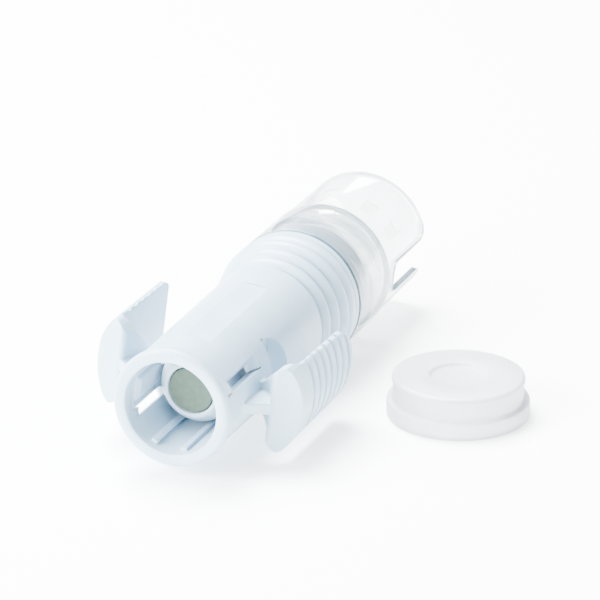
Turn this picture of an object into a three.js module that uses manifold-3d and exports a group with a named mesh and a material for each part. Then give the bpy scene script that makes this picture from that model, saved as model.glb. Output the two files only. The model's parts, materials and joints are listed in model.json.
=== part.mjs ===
// Squeeze-release docking adaptor for drug vials, with its push-on dust cap.
// Millimetres, +Z up. The device lies along Y, its open mouth towards -Y.
// Inside the device group, y = 0 is the widest plane of the mouth ring.

import * as THREE from 'three';
import { mergeVertices } from 'three/addons/utils/BufferGeometryUtils.js';
import Module from 'manifold-3d';

const wasm = await Module();
wasm.setup();

// ---------------------------------------------------------------- driving dimensions

const AROUND = 48;                 // facets round the outer shells
const AROUND_CARRIER = 32;         // facets round the septum carrier
const AROUND_INNER = 24;           // facets round the inner pieces
const ROLL = 7.5;                  // degrees the device lies rolled, one facet of its shells
const GAP = 0.3;                   // clearance between neighbouring pieces
const FINE_GAP = 0.15;             // clearance of a seal or a filter in its socket

const MOUTH_R = 7.9;               // mouth bore
const RING_WALL = 2.2;             // mouth ring, at its widest
const RING_FRONT = -1.1;           // front face of the mouth ring
const RING_REAR = 1.3;
const RING_ROUND = 0.7;
const MOUTH_CHAMFER = 0.35;
const NECK_WALL = 1.7;             // barrel wall just behind the mouth ring
const BARREL_FLARE = 0.55;         // growth of the barrel's radius to its rear end
const BODY_END = 38.3;

const GRIP_PITCH = 2.67;           // ring to ring along the grip zone
const GRIP_RINGS = 4;
const GRIP_START = 0.9;            // first groove behind the barrel
const GRIP_STEP_R = 0.6;           // each ring stands this much prouder than the last
const GROOVE_DEPTH = 0.55;

const SLEEVE_STEP = 4.1;           // from the mouth bore to the outside of the clear sleeve
const SLEEVE_WALL = 1.1;
const SLEEVE_LENGTH = 14;
const SPIGOT_LENGTH = 5.8;         // white spigot reaching into the sleeve
const SPIGOT_WALL = 1.37;

const COLLAR_STEP = 0.25;          // the vial collar is this much slimmer than the sleeve
const COLLAR_WALL = 1.05;
const COLLAR_LENGTH = 18.1;
const BULKHEAD = 1.3;
const COLLAR_SOCKET_LENGTH = 4.2;  // part of the collar that plugs into the sleeve
const COLLAR_SLOT_WIDTH = 5.6;
const COLLAR_SLOT_ROUND = 2.4;
const COLLAR_SLOT_ROOT = 0.9;      // from the bulkhead's face to the slot
const TONGUE_CORNER_R = 3;
const CRIMP_HEIGHT = 7.4;          // crimped vial cap held between bulkhead and beads
const BEAD_R = 0.75;
const BEAD_ANGLES = [40, 68, 112, 140];

const GUIDE_STEP = 1.3;            // from the mouth bore to the carrier's guide bore
const CHAMBER_STEP = 1.4;          // from the guide bore to the spring chamber
const CHAMBER_AHEAD = 10.3;        // the chamber starts this far ahead of the barrel's end

const RIB_WIDTH = 1.1;             // guide ribs in the mouth bore
const RIB_HEIGHT = 0.6;
const RIB_ANGLE = 20;
const RIB_START = 0.5;

const PANEL_WIDTH = 4.6;           // flats along the top and the bottom of the barrel
const PANEL_START = 7;
const PANEL_AHEAD = 7.3;           // they end this far ahead of the barrel's end

const STRIP_HALF_ANGLE = 24;       // half width of the lever's strip in the barrel wall
const STRIP_END = 17.4;
const WINDOW_START = 2.5;
const WINDOW_END = 12.2;
const WINDOW_SPAN = 11;            // degrees that a window reaches beyond the strip
const WINDOW_BEVEL_ANGLE = 9;
const WINDOW_BEVEL = 1.9;
const SLOT_LENGTH = 0.5;           // narrow slot behind the bands
const GUIDE_SET_BACK = 2.5;        // opening into the bore behind each strip
const SCOOP_R = 8.1;               // scoop behind each lever strip, for the fingertip
const SCOOP_FLOOR = 0.45;          // wall left between the scoop and the guide bore

const HOOK_HALF_WIDTH = 2.2;       // latch hook on the inside of each lever strip
const HOOK_HEIGHT = 0.95;
const HOOK_START = 2.3;
const HOOK_END = 12.7;
const WING_FRONT = 9;
const WING_REACH = 3.3;            // from the barrel to the inner edge of the wing's front
const WING_ROOT_HALF_HEIGHT = 2.2;
const WING_HALF_HEIGHT = 7.75;
const WEB_HALF_THICKNESS = 1;      // flat web from the strip to the wing's front
const WEB_START = 5.6;
const WEB_END = 14.6;
const GUSSET_HALF_THICKNESS = 0.6;
const GUSSET_END = 19;
const PLATE_REACH = 5.8;           // from the barrel to the finger plate
const PLATE_BULGE = 2.9;           // depth of the plate with its rounded outer face
const PLATE_START = 11.6;
const PLATE_AHEAD = 6;             // the plate ends this far ahead of the barrel's end
const PLATE_HALF_HEIGHT_FRONT = 7;
const PLATE_HALF_HEIGHT_REAR = 4.6;
const PLATE_CORNER_R = 3.2;
const FINGER_GROOVES = 7;
const FINGER_GROOVE_START = 3.6;
const FINGER_GROOVE_PITCH = 2.5;
const FINGER_GROOVE_WIDTH = 1.0;
const FINGER_GROOVE_DEPTH = 0.45;

const SEPTUM_RIM = 2.4;            // carrier wall round the septum
const SEPTUM_FRONT = 7.15;
const SEPTUM_LENGTH = 5.2;
const SEPTUM_FLANGE = 1.1;
const SHOULDER_LENGTH = 2.45;
const LIP_LENGTH = 1.9;
const RETAINER_LENGTH = 3;
const RETAINER_WALL = 2;
const CARRIER_FLANGE = 1.8;
const WIRE_R = 0.4;
const SPRING_TURNS = 6;
const SPRING_INSET = 1.4;          // from the chamber's wall to the middle of the wire

const NEEDLE_R = 0.6;
const NEEDLE_BORE_R = 0.35;
const VENT_NEEDLE_R = 0.45;
const VENT_NEEDLE_WALL = 0.2;
const VENT_OFFSET = 1.7;
const VENT_STEP = 0.8;             // the vent needle is this much shorter at the front
const NEEDLE_SET_BACK = 0.5;       // the needles end this far inside the hub
const NEEDLE_TIP_GAP = 0.7;        // needle tip behind the resting septum
const HUB_DISC = 2.5;
const HUB_BOSS_R = 3;
const HUB_BOSS_LENGTH = 9;
const HUB_TAIL_LENGTH = 3;
const SEAL_R = 0.5;
const SUPPORT_LENGTH = 1;
const SUPPORT_HOLES = 8;
const SUPPORT_HOLE_R = 1.1;
const MEMBRANE_LENGTH = 0.6;
const FILTER_RING_LENGTH = 1.8;
const FILTER_RING_WALL = 1.4;
const END_RING_NECK = 2.4;
const END_RING_FLANGE = 1.8;
const LUG_ANGLE = 24;
const LUG_WIDTH = 1.6;
const LUG_LENGTH = 3.3;
const LUG_HEIGHT = 0.33;

const SPIKE_R = 2.2;
const SPIKE_BORE_R = 0.8;
const SPIKE_FOOT_LENGTH = 2;
const SPIKE_POINT_LENGTH = 10;
const SPIKE_RECESS = 4;            // spike tip this far inside the collar's end

const CAP_FIT = 0.1;               // cap bore over the mouth ring
const CAP_WALL = 0.75;
const CAP_ROOF = 0.85;
const CAP_HEIGHT = 7;
const CAP_BEAD = 0.2;
const CAP_FLANGE_WIDTH = 1.05;
const CAP_FLANGE_HEIGHT = 2.9;
const CAP_DIMPLE_R = 4.6;
const CAP_DIMPLE_DEPTH = 0.6;
const CAP_BESIDE = 3.3;            // the cap lies this far beside the lever
const CAP_BEHIND = 41.1;           // and its centre this far behind the mouth ring's

// ---------------------------------------------------------------- dependent sizes

const HALF_FACET = Math.PI / AROUND;
const SLEEVE_R = MOUTH_R + SLEEVE_STEP;
const FLOOR = -SLEEVE_R * Math.cos(HALF_FACET);
const RING_R = MOUTH_R + RING_WALL;
const NECK_R = MOUTH_R + NECK_WALL;
const BODY_R = NECK_R + BARREL_FLARE;
const GUIDE_R = MOUTH_R - GUIDE_STEP;
const GUIDE_START = STRIP_END + GAP + GUIDE_SET_BACK;
const CHAMBER_R = GUIDE_R + CHAMBER_STEP;
const CHAMBER_START = BODY_END - CHAMBER_AHEAD;
const PANEL_END = BODY_END - PANEL_AHEAD;
const WINDOW_ANGLE = STRIP_HALF_ANGLE + WINDOW_SPAN;

const SPIGOT_START = BODY_END + (GRIP_RINGS + 1) * GRIP_PITCH - 0.15;
const SPIGOT_R = SLEEVE_R - SLEEVE_WALL - LUG_HEIGHT - GAP;
const SPIGOT_END = SPIGOT_START + SPIGOT_LENGTH;
const SLEEVE_START = SPIGOT_START + GAP;
const SLEEVE_END = SLEEVE_START + SLEEVE_LENGTH;
const COLLAR_R = SLEEVE_R - COLLAR_STEP;
const COLLAR_START = SLEEVE_END + GAP;
const COLLAR_END = COLLAR_START + COLLAR_LENGTH;
const BULKHEAD_FACE = COLLAR_START + BULKHEAD;
const SOCKET_R = SLEEVE_R - SLEEVE_WALL - GAP;

// The hub and the filter stack are laid out forwards from the end ring.
const HUB_SOCKET_R = SPIGOT_R - SPIGOT_WALL;
const HUB_R = HUB_SOCKET_R - GAP;
const END_RING_START = SPIGOT_END - END_RING_NECK;
const FILTER_RING_START = END_RING_START - GAP - FILTER_RING_LENGTH;
const MEMBRANE_START = FILTER_RING_START - GAP - MEMBRANE_LENGTH;
const SUPPORT_START = MEMBRANE_START - GAP - SUPPORT_LENGTH;
const HUB_END = SUPPORT_START - GAP;
const HUB_START = HUB_END - HUB_DISC;
const HUB_SOCKET_START = HUB_START - 2 * (SEAL_R + GAP);
const HUB_TAIL_END = HUB_END + HUB_TAIL_LENGTH;

const CARRIER_R = GUIDE_R - GAP;
const CARRIER_END = CHAMBER_START + GAP + CARRIER_FLANGE;
const SEPTUM_R = CARRIER_R - SEPTUM_RIM;
const SEPTUM_FLANGE_R = SEPTUM_R + SEPTUM_FLANGE;
const SEPTUM_END = SEPTUM_FRONT + SEPTUM_LENGTH;
const SPRING_R = CHAMBER_R - SPRING_INSET;
const NEEDLE_TIP = SEPTUM_END + NEEDLE_TIP_GAP;

const STRIP_START = RING_REAR + GAP;
const STRIP_R = NECK_R + BARREL_FLARE * WINDOW_START / BODY_END;
const HOOK_X = MOUTH_R - HOOK_HEIGHT;
const WING_INNER_X = NECK_R + WING_REACH;
const PLATE_INNER_X = NECK_R + PLATE_REACH;
const PLATE_OUTER_X = PLATE_INNER_X + PLATE_BULGE;
const PLATE_REAR = BODY_END - PLATE_AHEAD;

const CAP_INNER_R = RING_R + CAP_FIT;
const CAP_OUTER_R = CAP_INNER_R + CAP_WALL;
const CAP_FLANGE_R = CAP_OUTER_R + CAP_FLANGE_WIDTH;

// ---------------------------------------------------------------- helpers

const radians = THREE.MathUtils.degToRad;

// A closed three.js geometry as a solid; a geometry that is inside out is turned first.
function solid(geometry) {
  const bare = geometry.clone();
  bare.deleteAttribute('normal');
  bare.deleteAttribute('uv');
  const merged = mergeVertices(bare, 1e-4);
  const place = merged.attributes.position;
  const index = Array.from(merged.index.array);
  const [a, b, c] = [new THREE.Vector3(), new THREE.Vector3(), new THREE.Vector3()];
  const kept = [];
  let volume = 0;
  for (let i = 0; i < index.length; i += 3) {
    const [p, q, r] = index.slice(i, i + 3);
    if (p === q || q === r || r === p) continue;
    kept.push(p, q, r);
    a.fromBufferAttribute(place, p);
    b.fromBufferAttribute(place, q);
    c.fromBufferAttribute(place, r);
    volume += a.dot(b.cross(c));
  }
  if (volume < 0) {
    kept.reverse();
  }
  return new wasm.Manifold(new wasm.Mesh({
    numProp: 3,
    vertProperties: new Float32Array(place.array),
    triVerts: new Uint32Array(kept),
  }));
}

function geometryOf(body) {
  const mesh = body.getMesh();
  const geometry = new THREE.BufferGeometry();
  geometry.setAttribute('position', new THREE.BufferAttribute(mesh.vertProperties, 3));
  geometry.setIndex(new THREE.BufferAttribute(mesh.triVerts, 1));
  return geometry;
}

function join(bodies) {
  return bodies.reduce((sum, body) => sum.add(body));
}

// A profile of [radius, y] points turned about the Y axis; it closes on itself or on the axis.
function turned(profile, around = AROUND) {
  const points = profile.map(([r, y]) => new THREE.Vector2(r, y));
  const onAxis = profile[0][0] === 0 && profile.at(-1)[0] === 0;
  if (!onAxis) {
    points.push(points[0].clone());
  }
  return solid(new THREE.LatheGeometry(points, around, Math.PI / around));
}

function tube(outer, inner, start, end, around = AROUND_INNER) {
  return turned([[inner, start], [outer, start], [outer, end], [inner, end]], around);
}

function rod(radius, start, end, around = AROUND_INNER) {
  return turned([[0, start], [radius, start], [radius, end], [0, end]], around);
}

// A shape pushed along one axis. The shape's two coordinates are the other two, in X, Y, Z order.
const ALONG = {
  x: new THREE.Matrix4().set(0, 0, 1, 0, 1, 0, 0, 0, 0, 1, 0, 0, 0, 0, 0, 1),
  y: new THREE.Matrix4().set(1, 0, 0, 0, 0, 0, 1, 0, 0, 1, 0, 0, 0, 0, 0, 1),
  z: new THREE.Matrix4(),
};

function pushed(points, axis, start, end) {
  const shape = new THREE.Shape(points.map(([u, v]) => new THREE.Vector2(u, v)));
  const options = { depth: end - start, bevelEnabled: false, steps: 1 };
  const geometry = new THREE.ExtrudeGeometry(shape, options);
  geometry.translate(0, 0, start);
  geometry.applyMatrix4(ALONG[axis]);
  return solid(geometry);
}

function box(x0, x1, y0, y1, z0, z1) {
  return pushed([[x0, y0], [x1, y0], [x1, y1], [x0, y1]], 'z', z0, z1);
}

// Points of an arc about (u, v), in degrees, both ends included.
function arc(u, v, radius, from, to, steps) {
  return Array.from({ length: steps + 1 }, (_, i) => {
    const angle = radians(from + (to - from) * i / steps);
    return [u + radius * Math.cos(angle), v + radius * Math.sin(angle)];
  });
}

// A ring sector between two angles measured from +X towards +Z.
function sector(inner, outer, from, to, start, end, steps = 8) {
  const outline = [
    ...arc(0, 0, outer, from, to, steps),
    ...arc(0, 0, inner, to, from, steps),
  ];
  return pushed(outline, 'y', start, end);
}

function mirrored(body) {
  const geometry = geometryOf(body);
  geometry.scale(-1, 1, 1);
  return solid(geometry);
}

function upended(body) {
  const geometry = geometryOf(body);
  geometry.scale(1, 1, -1);
  return solid(geometry);
}

function turnedBy(body, degrees) {
  const geometry = geometryOf(body);
  geometry.rotateY(radians(degrees));
  return solid(geometry);
}

// ---------------------------------------------------------------- materials

function plastic(name, color, roughness) {
  return new THREE.MeshStandardMaterial({ name, color, roughness, metalness: 0 });
}

function clear(name, color, opacity) {
  return new THREE.MeshStandardMaterial({
    name, color, roughness: 0.08, metalness: 0, transparent: true, opacity,
  });
}

const whitePlastic = () => plastic('white_polypropylene', '#e6edf0', 0.42);
const clearPlastic = () => clear('clear_polycarbonate', '#e4f0f8', 0.35);
const rubber = () => plastic('grey_green_elastomer', '#acbbac', 0.62);
const steel = () => new THREE.MeshStandardMaterial({
  name: 'stainless_steel', color: '#c9cccf', roughness: 0.25, metalness: 1,
});

// ---------------------------------------------------------------- housing

function housingProfile() {
  const rings = Array.from({ length: GRIP_RINGS }, (_, i) => {
    const y = BODY_END + GRIP_START + i * GRIP_PITCH;
    const floor = Math.min(BODY_R + i * GRIP_STEP_R, SLEEVE_R) - GROOVE_DEPTH;
    const proud = Math.min(BODY_R + (i + 1) * GRIP_STEP_R, SLEEVE_R);
    return [
      [floor, y],
      [proud - 0.12, y + 0.55],
      [proud, y + GRIP_PITCH / 2],
      [proud - 0.05, y + GRIP_PITCH - 0.5],
    ];
  });
  const collar = SLEEVE_R - 0.15;
  const outer = [
    [MOUTH_R + MOUTH_CHAMFER, RING_FRONT],
    [RING_R - RING_ROUND, RING_FRONT],
    [RING_R - RING_ROUND * 0.3, RING_FRONT + RING_ROUND * 0.3],
    [RING_R, RING_FRONT + RING_ROUND],
    [RING_R, RING_REAR - RING_ROUND],
    [NECK_R, RING_REAR],
    [BODY_R, BODY_END],
    ...rings.flat(),
    [collar, SPIGOT_START - 0.3],
    [collar, SPIGOT_START],
    [SPIGOT_R, SPIGOT_START],
    [SPIGOT_R, SPIGOT_END],
  ];
  const inner = [
    [HUB_SOCKET_R, SPIGOT_END],
    [HUB_SOCKET_R, HUB_SOCKET_START],
    [CHAMBER_R, HUB_SOCKET_START],
    [CHAMBER_R, CHAMBER_START],
    [GUIDE_R, CHAMBER_START],
    [GUIDE_R, GUIDE_START],
    [MOUTH_R, GUIDE_START],
    [MOUTH_R, RING_FRONT + MOUTH_CHAMFER],
  ];
  return [...outer, ...inner];
}

// A window beside a lever strip: narrow at the bore, bevelled out towards the barrel's skin.
function windowCutter() {
  const inside = [
    [STRIP_HALF_ANGLE - 4, WINDOW_START + 1.4],
    [STRIP_HALF_ANGLE - 4, WINDOW_END],
    [WINDOW_ANGLE, WINDOW_END],
    [WINDOW_ANGLE, WINDOW_START],
  ];
  const outside = [
    [STRIP_HALF_ANGLE - 4, WINDOW_START + 0.9],
    [STRIP_HALF_ANGLE - 4, WINDOW_END + WINDOW_BEVEL],
    [WINDOW_ANGLE + WINDOW_BEVEL_ANGLE, WINDOW_END + WINDOW_BEVEL],
    [WINDOW_ANGLE + WINDOW_BEVEL_ANGLE, WINDOW_START - 0.5],
  ];
  const layers = [[inside, MOUTH_R - 1], [inside, MOUTH_R + 0.8], [outside, NECK_R + 1.2]];
  const place = [];
  for (const [outline, radius] of layers) {
    for (const [angle, y] of outline) {
      place.push(radius * Math.cos(radians(angle)), y, radius * Math.sin(radians(angle)));
    }
  }
  const sides = inside.length;
  const index = [0, 2, 1, 0, 3, 2];
  const top = (layers.length - 1) * sides;
  index.push(top, top + 1, top + 2, top, top + 2, top + 3);
  for (let layer = 0; layer < layers.length - 1; layer += 1) {
    for (let i = 0; i < sides; i += 1) {
      const a = layer * sides + i;
      const b = layer * sides + (i + 1) % sides;
      index.push(a, b, b + sides, a, b + sides, a + sides);
    }
  }
  const geometry = new THREE.BufferGeometry();
  geometry.setAttribute('position', new THREE.Float32BufferAttribute(place, 3));
  geometry.setIndex(index);
  return solid(geometry);
}

// Everything cut from the right side of the barrel: strip opening, windows, slot and scoop.
function sideCutter() {
  const edge = STRIP_HALF_ANGLE + THREE.MathUtils.radToDeg(GAP / NECK_R);
  const reach = BODY_R + 2;
  const deep = GUIDE_R + SCOOP_FLOOR;
  const scoopX = deep + SCOOP_R;
  const slotAngle = THREE.MathUtils.radToDeg(Math.acos(deep / BODY_R));
  const opening = sector(MOUTH_R - 1, reach, -edge, edge, RING_REAR, GUIDE_START, 6);
  const slotEnd = STRIP_END + GAP + SLOT_LENGTH;
  const slot = sector(deep + 0.05, reach, -slotAngle, slotAngle, STRIP_END + GAP, slotEnd, 10);
  const scoop = pushed([
    ...arc(scoopX, STRIP_END + GAP, SCOOP_R, 90, 180, 12),
    [scoopX, STRIP_END + GAP],
  ], 'z', -reach, reach);
  const windowAbove = windowCutter();
  return join([opening, slot, scoop, windowAbove, upended(windowAbove)]);
}

function panelCutter() {
  const slope = BARREL_FLARE / BODY_END;
  const height = (y) => Math.sqrt((NECK_R + slope * y) ** 2 - (PANEL_WIDTH / 2) ** 2);
  const outline = [
    [PANEL_START, height(PANEL_START)],
    [PANEL_END, height(PANEL_END)],
    [PANEL_END, BODY_R + 1],
    [PANEL_START, BODY_R + 1],
  ];
  return pushed(outline, 'x', -PANEL_WIDTH / 2, PANEL_WIDTH / 2);
}

function housing() {
  const sides = sideCutter();
  const panel = panelCutter();
  const cuts = [sides, mirrored(sides), panel, upended(panel)];
  const rib = box(
    MOUTH_R - RIB_HEIGHT, MOUTH_R + 0.4, RIB_START, GUIDE_START + 0.2, -RIB_WIDTH / 2, RIB_WIDTH / 2,
  );
  const ribs = [90 - RIB_ANGLE, 90 + RIB_ANGLE, 270 - RIB_ANGLE, 270 + RIB_ANGLE];
  const lug = box(
    SPIGOT_R - 0.4, SPIGOT_R + LUG_HEIGHT,
    SPIGOT_END - LUG_LENGTH, SPIGOT_END - 0.2, -LUG_WIDTH / 2, LUG_WIDTH / 2,
  );
  const lugs = [-LUG_ANGLE, 180 - LUG_ANGLE];
  const shell = cuts.reduce((body, cut) => body.subtract(cut), turned(housingProfile()));
  return join([
    shell,
    ...ribs.map((angle) => turnedBy(rib, angle)),
    ...lugs.map((angle) => turnedBy(lug, angle)),
  ]);
}

// ---------------------------------------------------------------- levers

// The convex outer outline of a wing seen from the front, in x and z.
function wingSection(inset = 0, share = 1) {
  const radius = (WING_HALF_HEIGHT ** 2 + PLATE_BULGE ** 2) / (2 * PLATE_BULGE);
  const spread = share * THREE.MathUtils.radToDeg(Math.asin(WING_HALF_HEIGHT / radius));
  return arc(PLATE_OUTER_X - radius, 0, radius - inset, -spread, spread, 8);
}

// The lever seen from above: it leaves the strip, curves outwards and turns into the plate.
function leverPlan() {
  const root = STRIP_R - 0.6;
  const front = WING_FRONT + 0.4;
  const outer = PLATE_OUTER_X + 0.2;
  const bend = PLATE_START + 1;
  return pushed([
    [root, bend],
    ...arc(STRIP_R, front, WING_INNER_X - STRIP_R, 80, 10, 5),
    ...arc(WING_INNER_X + 0.8, front + 0.1, 0.8, 190, 290, 3),
    [PLATE_INNER_X + 0.4, front + 0.1],
    ...arc(PLATE_OUTER_X - 1.1, PLATE_START - 0.2, 1.3, 290, 350, 3),
    [outer, PLATE_START + 3],
    [outer, PLATE_REAR - 1],
    ...arc(outer - 1, PLATE_REAR - 1, 1, 0, 90, 2),
    ...arc(PLATE_INNER_X + 1, PLATE_REAR - 1, 1, 90, 180, 2),
    [PLATE_INNER_X, bend + 0.8],
    ...arc(PLATE_INNER_X - 1.2, bend, 1.2, 0, -80, 2),
    ...arc(NECK_R + 3, bend + 2.4, 2.9, -78, -150, 3),
    [root, bend + 3.4],
  ], 'z', -WING_HALF_HEIGHT - 1, WING_HALF_HEIGHT + 1);
}

// The lever seen from the front: it widens from the strip to the wing's rounded outer face.
function leverFront() {
  const upper = [
    [PLATE_INNER_X - 0.2, WING_HALF_HEIGHT - 0.1],
    [PLATE_INNER_X - 0.8, WING_HALF_HEIGHT - 0.2],
    [PLATE_INNER_X - 1.6, WING_HALF_HEIGHT - 0.85],
    [PLATE_INNER_X - 3, WING_HALF_HEIGHT - 2.65],
    [NECK_R + 0.4, WING_ROOT_HALF_HEIGHT + 0.1],
    [NECK_R - 1, WING_ROOT_HALF_HEIGHT],
  ];
  const lower = upper.map(([x, z]) => [x, -z]).reverse();
  return pushed([...lower, ...wingSection(0, 0.92), ...upper], 'y', WING_FRONT - 2, PLATE_REAR + 1);
}

// The lever seen from the side: the plate tapers rearwards to rounded corners.
function leverSide() {
  const corner = PLATE_REAR - PLATE_CORNER_R;
  const edge = PLATE_HALF_HEIGHT_REAR + 1.8 - PLATE_CORNER_R;
  const upper = [
    ...arc(corner, edge, PLATE_CORNER_R, 0, 80, 4),
    [PLATE_START + 2, PLATE_HALF_HEIGHT_FRONT],
    [PLATE_START, WING_HALF_HEIGHT],
    [WING_FRONT - 2, WING_HALF_HEIGHT],
  ];
  const lower = upper.map(([y, z]) => [y, -z]).reverse();
  return pushed([...lower, ...upper], 'x', STRIP_R - 2, PLATE_OUTER_X + 2);
}

function fingerGrooves() {
  const outline = [
    ...wingSection(FINGER_GROOVE_DEPTH),
    [PLATE_OUTER_X + 2, WING_HALF_HEIGHT + 2],
    [PLATE_OUTER_X + 2, -WING_HALF_HEIGHT - 2],
  ];
  return Array.from({ length: FINGER_GROOVES }, (_, i) => {
    const y = PLATE_START + FINGER_GROOVE_START + i * FINGER_GROOVE_PITCH;
    return pushed(outline, 'y', y, y + FINGER_GROOVE_WIDTH);
  });
}

function rightLever() {
  const strip = sector(
    MOUTH_R, STRIP_R, -STRIP_HALF_ANGLE, STRIP_HALF_ANGLE, STRIP_START, STRIP_END, 6,
  );
  const hook = pushed([
    [MOUTH_R + 0.3, -HOOK_HALF_WIDTH],
    [MOUTH_R + 0.3, HOOK_HALF_WIDTH],
    ...arc(HOOK_X + 1, HOOK_HALF_WIDTH - 1, 1, 90, 180, 4),
    ...arc(HOOK_X + 1, 1 - HOOK_HALF_WIDTH, 1, 180, 270, 4),
  ], 'y', HOOK_START, HOOK_END);
  const lead = pushed([
    [HOOK_X - 0.5, HOOK_START - 0.5],
    [MOUTH_R - 0.1, HOOK_START - 0.5],
    [HOOK_X - 0.5, HOOK_START + 1.6],
  ], 'z', -HOOK_HALF_WIDTH - 1, HOOK_HALF_WIDTH + 1);
  const web = pushed([
    [STRIP_R - 0.6, WEB_START],
    [PLATE_INNER_X - 0.2, WING_FRONT + 0.9],
    [STRIP_R - 0.6, WEB_END],
  ], 'z', -WEB_HALF_THICKNESS, WEB_HALF_THICKNESS);
  const gusset = pushed([
    [PLATE_INNER_X - 3.2, PLATE_START + 1],
    [PLATE_INNER_X + 0.3, PLATE_START + 0.4],
    [PLATE_INNER_X + 0.3, GUSSET_END],
  ], 'z', -GUSSET_HALF_THICKNESS, GUSSET_HALF_THICKNESS);
  const blank = leverPlan().intersect(leverFront()).intersect(leverSide());
  const wing = fingerGrooves().reduce((body, groove) => body.subtract(groove), blank);
  return join([strip, hook.subtract(lead), wing, web, gusset]);
}

// ---------------------------------------------------------------- septum carrier and spring

function septumCarrier() {
  const pocketR = SEPTUM_FLANGE_R + FINE_GAP;
  const lipEnd = SEPTUM_FRONT + LIP_LENGTH;
  return turned([
    [SEPTUM_R + FINE_GAP, SEPTUM_FRONT + 0.15],
    [SEPTUM_R + 0.5, SEPTUM_FRONT],
    [CARRIER_R - 0.9, SEPTUM_FRONT + SHOULDER_LENGTH * 0.45],
    [CARRIER_R, SEPTUM_FRONT + SHOULDER_LENGTH],
    [CARRIER_R, CHAMBER_START + GAP],
    [CHAMBER_R - GAP, CHAMBER_START + GAP],
    [CHAMBER_R - GAP, CARRIER_END],
    [pocketR, CARRIER_END],
    [pocketR, lipEnd],
    [SEPTUM_R + FINE_GAP, lipEnd],
  ], AROUND_CARRIER);
}

function septum() {
  const step = SEPTUM_FRONT + LIP_LENGTH + FINE_GAP;
  return turned([
    [0, SEPTUM_FRONT],
    [SEPTUM_R - 0.2, SEPTUM_FRONT],
    [SEPTUM_R, SEPTUM_FRONT + 0.2],
    [SEPTUM_R, step],
    [SEPTUM_FLANGE_R, step],
    [SEPTUM_FLANGE_R, SEPTUM_END],
    [0, SEPTUM_END],
  ], AROUND_CARRIER);
}

function springCoil(start, end) {
  const turns = Math.max(SPRING_TURNS, 2);
  const length = end - start - 2 * WIRE_R;
  class Coil extends THREE.Curve {
    getPoint(t, target = new THREE.Vector3()) {
      const flat = 0.75 / turns;
      const rise = THREE.MathUtils.clamp((t - flat) / (1 - 2 * flat), 0, 1);
      const squeeze = 2.1 * WIRE_R / length;
      const ends = squeeze * (Math.min(t / flat, 1) + Math.max((t - 1 + flat) / flat, 0)) * 0.75;
      const y = start + WIRE_R + length * (rise * (1 - 1.5 * squeeze) + ends);
      const angle = t * turns * 2 * Math.PI;
      return target.set(SPRING_R * Math.cos(angle), y, SPRING_R * Math.sin(angle));
    }
  }
  const outline = arc(0, 0, WIRE_R, 0, 300, 5).map(([u, v]) => new THREE.Vector2(u, v));
  const section = new THREE.Shape(outline);
  const options = { steps: turns * 14, extrudePath: new Coil(), bevelEnabled: false };
  return solid(new THREE.ExtrudeGeometry(section, options));
}

// ---------------------------------------------------------------- hub, needles and filter

function needleHub() {
  const front = HUB_START - HUB_BOSS_LENGTH;
  const body = turned([
    [0, front],
    [HUB_BOSS_R - 0.3, front],
    [HUB_BOSS_R, front + 0.3],
    [HUB_BOSS_R, HUB_START],
    [HUB_R, HUB_START],
    [HUB_R, HUB_END],
    [HUB_BOSS_R, HUB_END],
    [HUB_BOSS_R, HUB_TAIL_END],
    [0, HUB_TAIL_END],
  ], AROUND_INNER);
  const liquidBore = rod(NEEDLE_R + FINE_GAP, front - 1, HUB_TAIL_END + 1, 16);
  const ventBore = solid(
    geometryOf(rod(VENT_NEEDLE_R + FINE_GAP, front - 1, HUB_END + 1, 12)).translate(0, 0, VENT_OFFSET),
  );
  return body.subtract(liquidBore).subtract(ventBore);
}

// A steel needle with a slanted tip at its front end.
function needle(radius, bore, tip, end, height) {
  const shaft = tube(radius, bore, tip, end, 12);
  const reach = 2 * radius;
  const slant = pushed([
    [tip - 1, -reach],
    [tip + 2.4 * radius, -reach],
    [tip, radius],
    [tip - 1, radius],
  ], 'x', -reach, reach);
  return solid(geometryOf(shaft.subtract(slant)).translate(0, 0, height));
}

function filterSupport() {
  const plate = tube(HUB_R, HUB_BOSS_R + GAP, SUPPORT_START, SUPPORT_START + SUPPORT_LENGTH);
  const hole = pushed(
    arc((HUB_R + HUB_BOSS_R) / 2, 0, SUPPORT_HOLE_R, 0, 315, 7), 'y',
    SUPPORT_START - 1, SUPPORT_START + SUPPORT_LENGTH + 1,
  );
  const holes = Array.from({ length: SUPPORT_HOLES }, (_, i) => turnedBy(hole, i * 360 / SUPPORT_HOLES));
  return holes.reduce((body, cut) => body.subtract(cut), plate);
}

function endRing() {
  const neck = SPIGOT_END + GAP;
  return turned([
    [HUB_R - FILTER_RING_WALL, END_RING_START],
    [HUB_R, END_RING_START],
    [HUB_R, neck],
    [SPIGOT_R, neck],
    [SPIGOT_R, neck + END_RING_FLANGE - 0.3],
    [SPIGOT_R - 0.3, neck + END_RING_FLANGE],
    [HUB_R - FILTER_RING_WALL, neck + END_RING_FLANGE],
  ], AROUND_CARRIER);
}

// ---------------------------------------------------------------- clear sleeve, collar and spike

function clearSleeve() {
  const inner = SLEEVE_R - SLEEVE_WALL;
  return turned([
    [inner, SLEEVE_START],
    [SLEEVE_R - 0.25, SLEEVE_START],
    [SLEEVE_R, SLEEVE_START + 0.25],
    [SLEEVE_R, SLEEVE_END - 0.35],
    [SLEEVE_R - 0.35, SLEEVE_END],
    [inner, SLEEVE_END],
  ]);
}

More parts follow.
